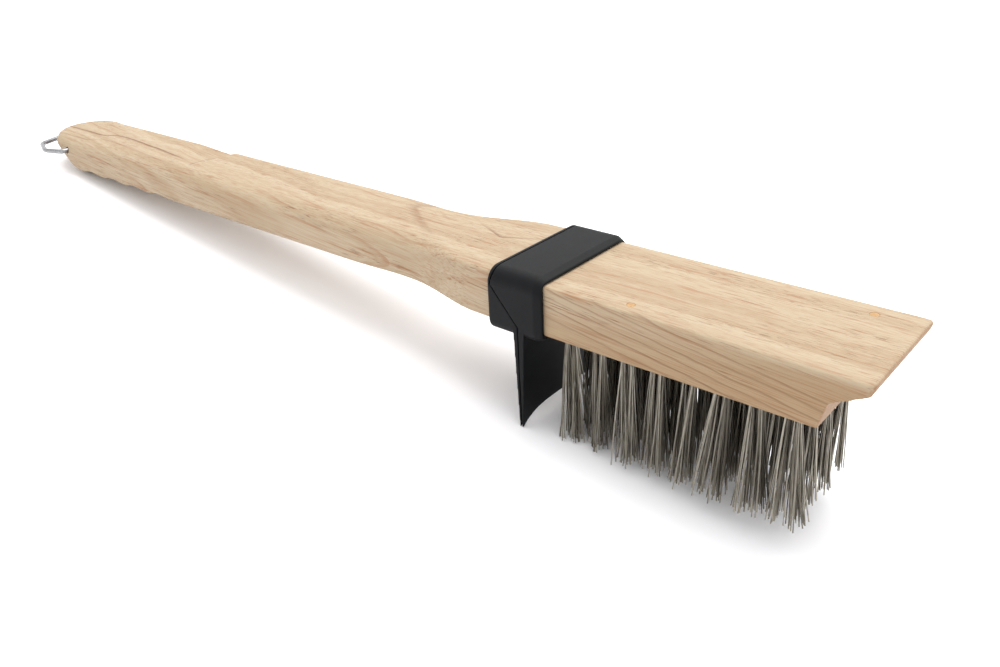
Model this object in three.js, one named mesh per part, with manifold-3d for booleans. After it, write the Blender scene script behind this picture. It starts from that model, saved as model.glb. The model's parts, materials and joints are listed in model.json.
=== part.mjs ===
// Wooden grill cleaning brush: a one-piece board handle and head, 32 steel wire tufts,
// a black two-shell collar that carries a scraper blade, and a wire ring to hang it by.
//
// Brush frame, in millimetres: X runs along the handle towards the nose and is 0 at the
// collar's front, Y runs across the head, and Z is 0 on the head's flat top.
// The last group turns that frame into the resting pose: the blade's two corners and
// the underside of the grip stand on Z = 0, and the bounding box is centred on X and Y.
import * as THREE from 'three';
import { mergeVertices } from 'three/addons/utils/BufferGeometryUtils.js';
import Module from 'manifold-3d';

const wasm = await Module();
wasm.setup();

// ---- Driving dimensions -------------------------------------------------------------
const GAP = 0.3;                    // clearance between touching pieces

const board = {
  thickness: 18,
  headHalfWidth: 23,
  noseX: 104,
  noseCorner: 2.5,                  // plan radius of the two nose corners
  neckFrontX: -28,                  // the head starts to narrow here
  neckX: -64,                       // narrowest place
  neckHalfWidth: 18.3,
  gripX: -100,                      // the grip is parallel from here back
  gripHalfWidth: 19.75,
  endX: -338,
  headEdge: 1.6,                    // edge radius round the head
  gripTopEdge: 8.5,                 // edge radii along the grip
  gripBottomEdge: 6,
  tipTopEdge: 2.5,                  // top edge radius at the very end
  edgeBlendX: -78,                  // the grip's edge radii are reached here
  bevelDepth: 4.5,                  // the end is cut back below this depth
  bevelSlope: 1.15,                 // distance cut back for each unit of depth
};

const nose = {
  lipBottom: [103, -3.7],           // X and Z of the lip's lower edge
  coveTop: [94.2, -8.2],            // the undercut slopes back to here
  coveBottom: [92.5, -10.6],        // and turns down through a small cove
  blockBottomX: 90.6,
};

const groove = { frontX: -223.5, pitch: 20.5, count: 4, depth: 3 };
// A thumb rest in the top, cut by a trough that dips towards the far side.
const scoop = {
  deepX: -213.5,
  levelY: -12,                      // where the trough's lowest line meets the flat top
  tilt: 0.13,                       // depth gained for each unit towards the far side
  rearRadius: 178,
  height: 7,
  rearSteps: 12,
  frontRun: 3.4,
};

const collar = {
  rearX: -21.2,
  frontX: 0.7,
  halfWidth: 25.5,
  top: 2.1,
  bottom: -20.2,
  topCorner: 5.2,
  bottomCorner: 3.6,
  innerCorner: 1.9,
};
const blade = {
  rootRearX: -10.6,
  rootFrontX: -6.1,
  tipRearX: -9,
  tipFrontX: -7.5,
  tipZ: -54.3,
  archZ: -49.4,                     // the edge between the two corner points
  archPower: 4.5,
};
// The joint between the two shells, from the top edge down to the blade's tip.
const seam = [[-19.3, 8], [-19.3, 0.4], [-19.9, -3.4], [-8.7, -16.2], [-8.25, -60]];

const tuft = {
  columns: 8,
  rows: 4,
  firstX: 7,
  pitchX: 10.75,
  rowSpan: 34.4,                    // first row to last row
  holeRadius: 2.2,
  holeDepth: 11,
  tipZ: -55.4,
  tipRadius: 3.9,
};

const plug = { radius: 1.4, depth: 7, places: [[29.7, -18.2], [89.3, 16]] };
const screw = {
  x: -15.6,
  y: 13,
  shankRadius: 1.5,
  headRadius: 3.2,
  headHeight: 1.9,
  reach: 11,                        // length of the shank inside the board
};
const ring = {
  axisX: -313.5,
  axisZ: -6.4,
  wireRadius: 1.15,
  holeRadius: 1.65,
  // Outline seen from above: distance behind the axis, and Y. It reaches further out on the near side.
  corners: [[0, -22.4], [10.3, -26.2], [24.6, -20.9], [32.2, 0], [25, 14.5], [8.5, 21.15], [0, 21.15]],
  bendRadius: 2.6,
};

// ---- Materials ----------------------------------------------------------------------
const material = (color, roughness, metalness) =>
  new THREE.MeshStandardMaterial({ color, roughness, metalness });
const materials = {
  wood: material(0xdcc09a, 0.55, 0),
  coating: material(0x17181b, 0.5, 0),
  bristle: material(0x8a857c, 0.4, 0.9),
  plug: material(0xd2a35c, 0.5, 0),
  steel: material(0xb9bbbd, 0.3, 1),
};

// ---- Solids -------------------------------------------------------------------------
function toSolid(geometry) {
  const bare = geometry.clone();
  bare.deleteAttribute('normal');
  bare.deleteAttribute('uv');
  const merged = mergeVertices(bare, 1e-4);
  return new wasm.Manifold(new wasm.Mesh({
    numProp: 3,
    vertProperties: new Float32Array(merged.attributes.position.array),
    triVerts: new Uint32Array(merged.index.array),
  }));
}

function toGeometry(solid) {
  const mesh = solid.getMesh();
  const geometry = new THREE.BufferGeometry();
  geometry.setAttribute('position', new THREE.BufferAttribute(new Float32Array(mesh.vertProperties), 3));
  geometry.setIndex(new THREE.BufferAttribute(new Uint32Array(mesh.triVerts), 1));
  return geometry;
}

function named(name, geometry, finish) {
  const mesh = new THREE.Mesh(geometry, finish);
  mesh.name = name;
  return mesh;
}

const smoothstep = (a, b, x) => {
  const t = THREE.MathUtils.clamp((x - a) / (b - a), 0, 1);
  return t * t * (3 - 2 * t);
};

// A prism along Y whose section is drawn in X and Z.
function crossPrism(shape, halfLength, curveSegments = 8) {
  const geometry = new THREE.ExtrudeGeometry(shape, {
    depth: 2 * halfLength,
    bevelEnabled: false,
    curveSegments,
  });
  geometry.rotateX(Math.PI / 2);
  geometry.translate(0, halfLength, 0);
  return geometry;
}

const outline = (points) => new THREE.Shape(points.map(([x, z]) => new THREE.Vector2(x, z)));

function upright(radius, x, y, low, high, sides) {
  const geometry = new THREE.CylinderGeometry(radius, radius, high - low, sides);
  geometry.rotateX(Math.PI / 2);
  geometry.translate(x, y, (low + high) / 2);
  return geometry;
}

// ---- The board: handle and head in one piece ------------------------------------------
function halfWidth(x) {
  if (x > board.neckX) {
    const t = smoothstep(board.neckX, board.neckFrontX, x);
    return THREE.MathUtils.lerp(board.neckHalfWidth, board.headHalfWidth, t);
  }
  const t = smoothstep(board.neckX, board.gripX, x);
  return THREE.MathUtils.lerp(board.neckHalfWidth, board.gripHalfWidth, t);
}

function planOutline() {
  const points = [];
  const cornerX = board.noseX - board.noseCorner;
  const cornerY = board.headHalfWidth - board.noseCorner;
  const cornerSteps = 4;
  for (let i = 0; i <= cornerSteps; i++) {
    const a = (i / cornerSteps) * Math.PI / 2;
    points.push([cornerX + board.noseCorner * Math.cos(a), cornerY + board.noseCorner * Math.sin(a)]);
  }
  const stations = [60, 20, 0, board.neckFrontX];
  const neckSteps = 8;
  for (let i = 1; i <= neckSteps; i++) {
    stations.push(THREE.MathUtils.lerp(board.neckFrontX, board.neckX, i / neckSteps));
  }
  stations.push(-76, -88, board.gripX, -150, -200, -250, -290, -308);
  for (const x of stations) points.push([x, halfWidth(x)]);
  const radius = board.gripHalfWidth;
  const centreX = board.endX + radius;
  const endSteps = 16;
  for (let i = 0; i <= endSteps / 2; i++) {
    const a = Math.PI / 2 * (1 + 2 * i / endSteps);
    points.push([centreX + radius * Math.cos(a), radius * Math.sin(a)]);
  }
  const lastIsOnAxis = points.length - 1;
  const mirrored = points.slice(0, lastIsOnAxis).reverse().map(([x, y]) => [x, -y]);
  return points.concat(mirrored);
}

function edgeRadius(x, normalX, gripRadius, tipRadius) {
  if (x > board.neckX && normalX > 0.5) return board.headEdge * 0.6;
  const along = THREE.MathUtils.lerp(
    board.headEdge, gripRadius, smoothstep(board.neckFrontX, board.edgeBlendX, x));
  return x < board.gripX ? THREE.MathUtils.lerp(along, tipRadius, Math.abs(normalX)) : along;
}

function boardBlank() {
  const plan = planOutline();
  const count = plan.length;
  const normals = plan.map((_, i) => {
    const [ax, ay] = plan[(i + count - 1) % count];
    const [bx, by] = plan[(i + 1) % count];
    const length = Math.hypot(bx - ax, by - ay);
    return [(by - ay) / length, (ax - bx) / length];
  });
  const levels = 5;
  const rings = [];
  for (let level = 0; level < 2 * levels; level++) {
    const top = level < levels;
    const step = top ? level : 2 * levels - 1 - level;
    const angle = (step / (levels - 1)) * Math.PI / 2;
    rings.push(plan.map(([x, y], i) => {
      const [nx, ny] = normals[i];
      const radius = top
        ? edgeRadius(x, nx, board.gripTopEdge, board.tipTopEdge)
        : edgeRadius(x, nx, board.gripBottomEdge, board.gripBottomEdge / 2);
      const inset = radius * (1 - Math.sin(angle));
      const fromFace = radius * (1 - Math.cos(angle));
      const depth = top ? fromFace : board.thickness - fromFace;
      const cutBack = board.bevelSlope * Math.max(depth - board.bevelDepth, 0);
      const weight = 1 - smoothstep(-300, -270, x);
      return [x - inset * nx + cutBack * weight, y - inset * ny, -depth];
    }));
  }
  const positions = rings.flat(2);
  const index = [];
  for (let level = 0; level < rings.length - 1; level++) {
    for (let i = 0; i < count; i++) {
      const a = level * count + i;
      const b = level * count + (i + 1) % count;
      index.push(a, a + count, b + count, a, b + count, b);
    }
  }
  const topCap = THREE.ShapeUtils.triangulateShape(rings[0].map(([x, y]) => new THREE.Vector2(x, y)), []);
  const lowest = rings[rings.length - 1].map(([x, y]) => new THREE.Vector2(x, y));
  const bottomCap = THREE.ShapeUtils.triangulateShape(lowest, []);
  const bottomStart = (rings.length - 1) * count;
  for (const [a, b, c] of topCap) index.push(a, b, c);
  for (const [a, b, c] of bottomCap) index.push(bottomStart + c, bottomStart + b, bottomStart + a);
  const geometry = new THREE.BufferGeometry();
  geometry.setAttribute('position', new THREE.Float32BufferAttribute(positions, 3));
  geometry.setIndex(index);
  return geometry;
}

function noseCutter() {
  const below = -board.thickness - 5;
  const shape = new THREE.Shape();
  shape.moveTo(board.noseX + 5, -0.5);
  shape.lineTo(board.noseX + 0.1, -0.5);
  shape.lineTo(...nose.lipBottom);
  shape.lineTo(...nose.coveTop);
  shape.quadraticCurveTo(nose.coveTop[0] - 1.5, nose.coveTop[1] - 0.8, ...nose.coveBottom);
  shape.lineTo(nose.blockBottomX, -board.thickness);
  shape.lineTo(nose.blockBottomX, below);
  shape.lineTo(board.noseX + 5, below);
  return crossPrism(shape, board.headHalfWidth + 5, 4);
}

function grooveCutter(i) {
  const chord = groove.pitch / 2;
  const radius = (chord * chord + groove.depth * groove.depth) / (2 * groove.depth);
  const geometry = new THREE.CylinderGeometry(radius, radius, 60, 48);
  const x = groove.frontX - groove.pitch * (i + 0.5);
  geometry.translate(x, 0, -board.thickness - radius + groove.depth);
  return geometry;
}

function scoopCutter() {
  const { deepX, levelY, tilt, rearRadius, height, rearSteps, frontRun } = scoop;
  const reach = Math.sqrt(2 * rearRadius * height);
  const profile = [];
  for (let i = 0; i <= rearSteps; i++) {
    const back = reach * (1 - i / rearSteps);
    profile.push([deepX - back, back * back / (2 * rearRadius)]);
  }
  profile.push([deepX + frontRun * 0.3, height * 0.1], [deepX + frontRun, height]);
  const geometry = crossPrism(outline(profile), 60);
  geometry.rotateX(-Math.atan(tilt));
  geometry.translate(0, levelY, 0);
  return geometry;
}

const tuftPlaces = [];
for (let row = 0; row < tuft.rows; row++) {
  for (let column = 0; column < tuft.columns; column++) {
    const x = tuft.firstX + column * tuft.pitchX;
    const y = (row / (tuft.rows - 1) - 0.5) * tuft.rowSpan;
    tuftPlaces.push({ row, column, x, y });
  }
}

function woodenBody() {
  let solid = toSolid(boardBlank()).subtract(toSolid(noseCutter()));
  for (let i = 0; i < groove.count; i++) solid = solid.subtract(toSolid(grooveCutter(i)));
  solid = solid.subtract(toSolid(scoopCutter()));
  const bottom = -board.thickness;
  for (const { x, y } of tuftPlaces) {
    const hole = upright(tuft.holeRadius, x, y, bottom - 1, bottom + tuft.holeDepth, 8);
    solid = solid.subtract(toSolid(hole));
  }
  for (const [x, y] of plug.places) {
    const hole = upright(plug.radius + GAP, x, y, -plug.depth - GAP, 1, 12);
    solid = solid.subtract(toSolid(hole));
  }
  for (const side of [-1, 1]) {
    const pilotTop = bottom + screw.reach + GAP;
    const hole = upright(screw.shankRadius + GAP, screw.x, side * screw.y, bottom - 1, pilotTop, 12);
    solid = solid.subtract(toSolid(hole));
  }
  const crossHole = new THREE.CylinderGeometry(ring.holeRadius, ring.holeRadius, 60, 16);
  crossHole.translate(ring.axisX, 0, ring.axisZ);
  solid = solid.subtract(toSolid(crossHole));
  return named('wooden_body', toGeometry(solid), materials.wood);
}

// ---- The collar: a front shell and a rear shell, each with half of the blade ----------
function roundedSection(halfY, low, high, lowRadius, highRadius) {
  const shape = new THREE.Shape();
  shape.moveTo(-halfY + lowRadius, low);
  shape.lineTo(halfY - lowRadius, low);
  shape.absarc(halfY - lowRadius, low + lowRadius, lowRadius, -Math.PI / 2, 0);
  shape.absarc(halfY - highRadius, high - highRadius, highRadius, 0, Math.PI / 2);
  shape.absarc(-halfY + highRadius, high - highRadius, highRadius, Math.PI / 2, Math.PI);
  shape.absarc(-halfY + lowRadius, low + lowRadius, lowRadius, Math.PI, 3 * Math.PI / 2);
  return shape;
}

// A prism along X, from rearX to frontX, whose section is drawn in Y and Z.
function lengthPrism(shape, rearX, frontX) {
  const geometry = new THREE.ExtrudeGeometry(shape, {
    depth: frontX - rearX,
    bevelEnabled: false,
    curveSegments: 6,
  });
  const axes = new THREE.Matrix4().makeBasis(
    new THREE.Vector3(0, 1, 0), new THREE.Vector3(0, 0, 1), new THREE.Vector3(1, 0, 0));
  geometry.applyMatrix4(axes);
  geometry.translate(rearX, 0, 0);
  return geometry;
}

// The blade's blank runs up past the collar's rounded lower corners, so its ends are flush.
function bladeBlank() {
  const rootZ = collar.bottom + collar.bottomCorner;
  return crossPrism(outline([
    [blade.rootRearX, rootZ],
    [blade.tipRearX, blade.tipZ],
    [blade.tipFrontX, blade.tipZ],
    [blade.rootFrontX, rootZ],
  ]), collar.halfWidth);
}

// What is cut out of the blade's lower edge, leaving a point at each corner.
function archCutter() {
  const shape = new THREE.Shape();
  const steps = 20;
  shape.moveTo(-collar.halfWidth, blade.tipZ - 5);
  for (let i = 0; i <= steps; i++) {
    const t = -1 + 2 * i / steps;
    const rise = (blade.archZ - blade.tipZ) * (1 - Math.abs(t) ** blade.archPower);
    shape.lineTo(t * collar.halfWidth, blade.tipZ + rise);
  }
  shape.lineTo(collar.halfWidth, blade.tipZ - 5);
  return lengthPrism(shape, -20, 5);
}

function seamSide(direction) {
  const offset = direction * GAP / 2;
  const edge = seam.map(([x, z]) => [x + offset, z]);
  const farX = direction * 40;
  const lowest = edge[edge.length - 1];
  return crossPrism(outline([...edge, [farX, lowest[1]], [farX, edge[0][1]]]), 40);
}

function collarShells() {
  const { rearX, frontX, halfWidth: half, top, bottom, innerCorner } = collar;
  const outer = lengthPrism(roundedSection(half, bottom, top, collar.bottomCorner, collar.topCorner), rearX, frontX);
  const inner = lengthPrism(roundedSection(
    board.headHalfWidth + GAP, -board.thickness - GAP, GAP, innerCorner, innerCorner), rearX - 1, frontX + 1);
  let solid = toSolid(outer).add(toSolid(bladeBlank()).subtract(toSolid(archCutter())));
  solid = solid.subtract(toSolid(inner));
  for (const side of [-1, 1]) {
    const hole = upright(screw.shankRadius + GAP, screw.x, side * screw.y, bottom - 1, bottom + 4, 12);
    solid = solid.subtract(toSolid(hole));
  }
  const front = solid.intersect(toSolid(seamSide(1)));
  const rear = solid.intersect(toSolid(seamSide(-1)));
  return [
    named('collar_front_shell', toGeometry(front), materials.coating),
    named('collar_rear_shell', toGeometry(rear), materials.coating),
  ];
}

// ---- Fastenings -----------------------------------------------------------------------
function latheUpright(profile, sides) {
  const points = profile.map(([radius, z]) => new THREE.Vector2(radius, z));
  const geometry = new THREE.LatheGeometry(points, sides);
  geometry.rotateX(Math.PI / 2);
  return geometry;
}

function collarScrew(name, side) {
  const headTop = collar.bottom - GAP;
  const shankEnd = -board.thickness + screw.reach;
  const geometry = latheUpright([
    [0, headTop - screw.headHeight],
    [screw.headRadius * 0.6, headTop - screw.headHeight],
    [screw.headRadius, headTop - screw.headHeight * 0.4],
    [screw.headRadius, headTop],
    [screw.shankRadius, headTop],
    [screw.shankRadius, shankEnd - 3],
    [0, shankEnd],
  ], 12);
  const mesh = named(name, geometry, materials.steel);
  mesh.position.set(screw.x, side * screw.y, 0);
  return mesh;
}

function topPlug(name, [x, y]) {
  return named(name, upright(plug.radius, x, y, -plug.depth, 0, 12), materials.plug);
}

// ---- Bristles: one bundle of steel wire in each hole ----------------------------------
function bristleTuft({ row, column, x, y }) {
  const rootRadius = tuft.holeRadius - GAP;
  const face = -board.thickness;
  const length = face - tuft.tipZ;
  const geometry = latheUpright([
    [0, tuft.tipZ],
    [tuft.tipRadius, tuft.tipZ],
    [THREE.MathUtils.lerp(tuft.tipRadius, rootRadius, 0.4), tuft.tipZ + length * 0.5],
    [rootRadius, face],
    [rootRadius, face + tuft.holeDepth - GAP],
    [0, face + tuft.holeDepth - GAP],
  ], 8);
  const mesh = named(`bristle_tuft_${row + 1}_${column + 1}`, geometry, materials.bristle);
  mesh.position.set(x, y, 0);
  return mesh;
}

// ---- Hanging ring ----------------------------------------------------------------------
// Straight runs joined by small bends, closed through the cross hole in the grip.
function ringPath() {
  const corners = ring.corners.map(([back, y]) => new THREE.Vector3(-back, y, 0));
  const path = new THREE.CurvePath();
  const count = corners.length;
  const bend = (i) => {
    const corner = corners[i];
    const before = corners[(i + count - 1) % count].clone().sub(corner).normalize();
    const after = corners[(i + 1) % count].clone().sub(corner).normalize();
    const enter = corner.clone().addScaledVector(before, ring.bendRadius);
    const leave = corner.clone().addScaledVector(after, ring.bendRadius);
    return { enter, corner, leave };
  };
  for (let i = 0; i < count; i++) {
    const here = bend(i);
    const next = bend((i + 1) % count);
    path.add(new THREE.QuadraticBezierCurve3(here.enter, here.corner, here.leave));
    path.add(new THREE.LineCurve3(here.leave, next.enter));
  }
  return path;
}

function hangingRing() {
  const path = ringPath();
  const sides = 10;
  const centres = [];
  for (const curve of path.curves) {
    const steps = curve instanceof THREE.LineCurve3 ? 1 : 4;
    for (let i = 0; i < steps; i++) {
      centres.push({ at: curve.getPoint(i / steps), along: curve.getTangent(i / steps) });
    }
  }
  const positions = [];
  const index = [];
  const count = centres.length;
  centres.forEach(({ at, along }, i) => {
    const outward = new THREE.Vector3(along.y, -along.x, 0).normalize();
    for (let j = 0; j < sides; j++) {
      const angle = (j / sides) * 2 * Math.PI;
      const point = at.clone().addScaledVector(outward, ring.wireRadius * Math.cos(angle));
      positions.push(point.x, point.y, ring.wireRadius * Math.sin(angle));
      const a = i * sides + j;
      const b = i * sides + (j + 1) % sides;
      const c = ((i + 1) % count) * sides + j;
      const d = ((i + 1) % count) * sides + (j + 1) % sides;
      index.push(a, d, b, a, c, d);
    }
  });
  const geometry = new THREE.BufferGeometry();
  geometry.setAttribute('position', new THREE.Float32BufferAttribute(positions, 3));
  geometry.setIndex(index);
  const mesh = named('hanging_ring', geometry, materials.steel);
  mesh.position.set(ring.axisX, 0, ring.axisZ);
  return mesh;
}

// ---- Assembly ---------------------------------------------------------------------------
const brush = new THREE.Group();
brush.add(woodenBody());
brush.add(...collarShells());
brush.add(collarScrew('collar_screw_near', -1), collarScrew('collar_screw_far', 1));
brush.add(topPlug('top_plug_rear', plug.places[0]), topPlug('top_plug_front', plug.places[1]));
for (const place of tuftPlaces) brush.add(bristleTuft(place));
brush.add(hangingRing());

// Nose up, so that the blade's points and the underside of the grip's end share a floor.
const gripContactX = board.endX + board.bevelSlope * (board.thickness - board.bevelDepth) + 3;
const pitch = Math.atan((-blade.tipZ - board.thickness) / (blade.tipRearX - gripContactX));
brush.rotation.y = -pitch;

const part = new THREE.Group();
part.add(brush);
part.updateMatrixWorld(true);
const box = new THREE.Box3().setFromObject(part, true);
const centre = box.getCenter(new THREE.Vector3());
brush.position.set(-centre.x, -centre.y, -box.min.z);

export default part;
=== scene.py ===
"""Looks of a wooden grill cleaning brush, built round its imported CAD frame.

Shapes are drawn in the brush frame, in millimetres: X runs along the handle towards the nose
and is 0 at the collar's front, Y runs across the head, and Z is 0 on the head's flat top.
TO_ROW turns them into the row frame, in metres, in which the brush rests nose up.
"""
import json
import math
import random

import bmesh
import bpy
from mathutils import Euler, Matrix, Vector

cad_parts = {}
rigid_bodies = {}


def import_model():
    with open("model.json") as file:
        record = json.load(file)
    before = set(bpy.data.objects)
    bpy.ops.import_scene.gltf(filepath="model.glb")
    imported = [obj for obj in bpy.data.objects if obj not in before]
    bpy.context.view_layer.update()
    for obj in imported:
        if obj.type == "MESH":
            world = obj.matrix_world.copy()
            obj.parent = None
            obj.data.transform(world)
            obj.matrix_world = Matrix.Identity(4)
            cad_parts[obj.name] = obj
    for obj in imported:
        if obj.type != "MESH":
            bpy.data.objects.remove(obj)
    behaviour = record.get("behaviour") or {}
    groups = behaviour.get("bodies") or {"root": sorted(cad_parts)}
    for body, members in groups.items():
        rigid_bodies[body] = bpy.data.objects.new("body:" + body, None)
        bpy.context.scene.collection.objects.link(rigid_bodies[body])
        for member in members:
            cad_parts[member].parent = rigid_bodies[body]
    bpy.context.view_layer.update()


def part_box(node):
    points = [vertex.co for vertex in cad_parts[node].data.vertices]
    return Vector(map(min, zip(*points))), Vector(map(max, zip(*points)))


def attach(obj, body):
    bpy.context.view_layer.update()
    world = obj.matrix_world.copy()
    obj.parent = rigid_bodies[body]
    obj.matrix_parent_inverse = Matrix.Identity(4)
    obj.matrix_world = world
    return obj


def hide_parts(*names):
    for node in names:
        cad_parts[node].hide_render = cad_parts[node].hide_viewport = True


for default in list(bpy.data.objects):
    bpy.data.objects.remove(default)
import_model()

# ---- Dimensions, in millimetres, as in the CAD -----------------------------------------------
GAP = 0.3
THICKNESS = 18
HEAD_HALF_WIDTH = 23
NOSE_X = 104
NOSE_CORNER = 2.5
NECK_FRONT_X = -28
NECK_X = -64
NECK_HALF_WIDTH = 18.3
GRIP_X = -100
GRIP_HALF_WIDTH = 19.75
END_X = -338
HEAD_EDGE = 1.6
GRIP_TOP_EDGE = 8.5
GRIP_BOTTOM_EDGE = 6
TIP_TOP_EDGE = 2.5
EDGE_BLEND_X = -78
BEVEL_DEPTH = 4.5
BEVEL_SLOPE = 1.15
BEVEL_FROM_X = -300
BEVEL_TO_X = -270

LIP_BOTTOM = (103, -3.7)
COVE_TOP = (94.2, -8.2)
COVE_BOTTOM = (92.5, -10.6)
BLOCK_BOTTOM_X = 90.6

GROOVE_FRONT_X = -223.5
GROOVE_PITCH = 20.5
GROOVE_COUNT = 4
GROOVE_DEPTH = 3

SCOOP_DEEP_X = -213.5
SCOOP_LEVEL_Y = -12
SCOOP_TILT = 0.13
SCOOP_REAR_RADIUS = 178
SCOOP_HEIGHT = 7
SCOOP_FRONT_RUN = 3.4

COLLAR_REAR_X = -21.2
COLLAR_FRONT_X = 0.7
COLLAR_HALF_WIDTH = 25.5
COLLAR_TOP = 2.1
COLLAR_BOTTOM = -20.2
COLLAR_TOP_CORNER = 5.2
COLLAR_BOTTOM_CORNER = 3.6
COLLAR_INNER_CORNER = 1.9

BLADE_ROOT_REAR_X = -10.6
BLADE_ROOT_FRONT_X = -6.1
BLADE_TIP_REAR_X = -9
BLADE_TIP_FRONT_X = -7.5
BLADE_TIP_Z = -54.3
BLADE_ARCH_Z = -49.4
BLADE_ARCH_POWER = 4.5
SEAM = [(-19.3, 8), (-19.3, 0.4), (-19.9, -3.4), (-8.7, -16.2), (-8.25, -60)]
SEAM_GAP = 0.36

TUFT_COLUMNS = 8
TUFT_ROWS = 4
TUFT_FIRST_X = 7
TUFT_PITCH_X = 10.75
TUFT_ROW_SPAN = 34.4
TUFT_HOLE_RADIUS = 2.2
TUFT_HOLE_DEPTH = 11
TUFT_TIP_Z = -55.4

PLUG_RADIUS = 1.4
PLUG_DEPTH = 7
PLUG_PLACES = {"top_plug_rear": (29.7, -18.2), "top_plug_front": (89.3, 16)}

SCREW_X = -15.6
SCREW_Y = 13
SCREW_SHANK_RADIUS = 1.5
SCREW_HEAD_RADIUS = 3.2
SCREW_HEAD_HEIGHT = 1.9
SCREW_REACH = 11

RING_AXIS_X = -313.5
RING_AXIS_Z = -6.4
RING_WIRE_RADIUS = 1.15
RING_HOLE_RADIUS = 1.65
RING_CORNERS = [
    (0, -22.4), (10.3, -26.2), (24.6, -20.9), (32.2, 0), (25, 14.5), (8.5, 21.15), (0, 21.15),
]
RING_BEND_RADIUS = 2.6


# ---- The brush frame's place in the row frame, from the two plugs ----------------------------
def box_centre(node):
    low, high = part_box(node)
    return (low + high) / 2


def plug_centre(name):
    x, y = PLUG_PLACES[name]
    return Vector((x, y, -PLUG_DEPTH / 2))


plug_line = box_centre("top_plug_front") - box_centre("top_plug_rear")
PITCH = math.atan2(plug_line.z, plug_line.x)
TURN_AND_SCALE = Matrix.Rotation(-PITCH, 4, "Y") @ Matrix.Scale(0.001, 4)
ORIGIN = box_centre("top_plug_rear") - TURN_AND_SCALE @ plug_centre("top_plug_rear")
TO_ROW = Matrix.Translation(ORIGIN) @ TURN_AND_SCALE


# ---- Mesh helpers ----------------------------------------------------------------------------
def lerp(a, b, t):
    return a + (b - a) * t


def smoothstep(a, b, x):
    t = min(max((x - a) / (b - a), 0), 1)
    return t * t * (3 - 2 * t)


def mesh_object(name, verts, faces):
    mesh = bpy.data.meshes.new(name)
    mesh.from_pydata(verts, [], faces)
    mesh.update()
    obj = bpy.data.objects.new(name, mesh)
    bpy.context.scene.collection.objects.link(obj)
    return obj


def apply_modifiers(obj):
    """Replaces obj's mesh with what its modifiers make of it."""
    graph = bpy.context.evaluated_depsgraph_get()
    mesh = bpy.data.meshes.new_from_object(obj.evaluated_get(graph))
    old = obj.data
    obj.modifiers.clear()
    obj.data = mesh
    bpy.data.meshes.remove(old)
    return obj


def drop(obj):
    mesh = obj.data
    bpy.data.objects.remove(obj)
    bpy.data.meshes.remove(mesh)


def combine(obj, cutters, operation="DIFFERENCE"):
    """Cuts obj with each cutter, or joins or intersects them, and removes the cutters."""
    for cutter in cutters:
        modifier = obj.modifiers.new("combine", "BOOLEAN")
        modifier.operation = operation
        modifier.solver = "EXACT"
        modifier.object = cutter
        apply_modifiers(obj)
        drop(cutter)
    return obj


def soften(obj, voxel, rounds, keep):
    """Remeshes obj evenly, rounds its edges a little, and thins the mesh where it is flat."""
    remesh = obj.modifiers.new("remesh", "REMESH")
    remesh.mode = "VOXEL"
    remesh.voxel_size = voxel
    smooth = obj.modifiers.new("smooth", "SMOOTH")
    smooth.factor = 0.5
    smooth.iterations = rounds
    thin = obj.modifiers.new("thin", "DECIMATE")
    thin.ratio = keep
    return apply_modifiers(obj)


def shade(obj, sharp_angle=40):
    """Smooth shading, with edges sharper than sharp_angle degrees kept crisp."""
    mesh = obj.data
    mesh.shade_smooth()
    mesh.set_sharp_from_angle(angle=math.radians(sharp_angle))
    return obj


def prism(name, section, place, low, high):
    """A closed prism of a section (a list of 2-D points). place(a, b, t) gives each point in 3-D."""
    count = len(section)
    verts = [place(a, b, low) for a, b in section] + [place(a, b, high) for a, b in section]
    faces = [(i, (i + 1) % count, count + (i + 1) % count, count + i) for i in range(count)]
    faces.append(tuple(range(count))[::-1])
    faces.append(tuple(range(count, 2 * count)))
    return outward(mesh_object(name, verts, faces))


def outward(obj):
    """Turns every face of a closed mesh outwards."""
    mesh = bmesh.new()
    mesh.from_mesh(obj.data)
    bmesh.ops.recalc_face_normals(mesh, faces=mesh.faces)
    mesh.to_mesh(obj.data)
    mesh.free()
    return obj


def cross_prism(name, section, half_length):
    """A prism along Y whose section is drawn in X and Z."""
    return prism(name, section, lambda x, z, y: (x, y, z), -half_length, half_length)


def length_prism(name, section, rear_x, front_x):
    """A prism along X whose section is drawn in Y and Z."""
    return prism(name, section, lambda y, z, x: (x, y, z), rear_x, front_x)


def upright(name, radius, x, y, low, high, sides=32):
    circle = [
        (x + radius * math.cos(2 * math.pi * i / sides), y + radius * math.sin(2 * math.pi * i / sides))
        for i in range(sides)
    ]
    return prism(name, circle, lambda a, b, z: (a, b, z), low, high)


def lathe(name, profile, x, y, sides=32):
    """A solid of revolution about an upright axis. The profile starts and ends on the axis."""
    (_, first_z), *middle, (_, last_z) = profile
    verts = [(x, y, first_z)]
    for radius, z in middle:
        for i in range(sides):
            angle = 2 * math.pi * i / sides
            verts.append((x + radius * math.cos(angle), y + radius * math.sin(angle), z))
    verts.append((x, y, last_z))
    faces = []
    for i in range(sides):
        j = (i + 1) % sides
        faces.append((0, 1 + i, 1 + j))
        for k in range(len(middle) - 1):
            a = 1 + k * sides
            faces.append((a + i, a + sides + i, a + sides + j, a + j))
        a = 1 + (len(middle) - 1) * sides
        faces.append((a + i, len(verts) - 1, a + j))
    return outward(mesh_object(name, verts, faces))


def finish_piece(obj, material, body, nodes):
    """Moves obj into the row frame, and hands it to the frame in place of its CAD nodes."""
    obj.data.transform(TO_ROW)
    obj.data.materials.clear()
    obj.data.materials.append(material)
    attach(obj, body)
    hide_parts(*nodes)
    return obj


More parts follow.
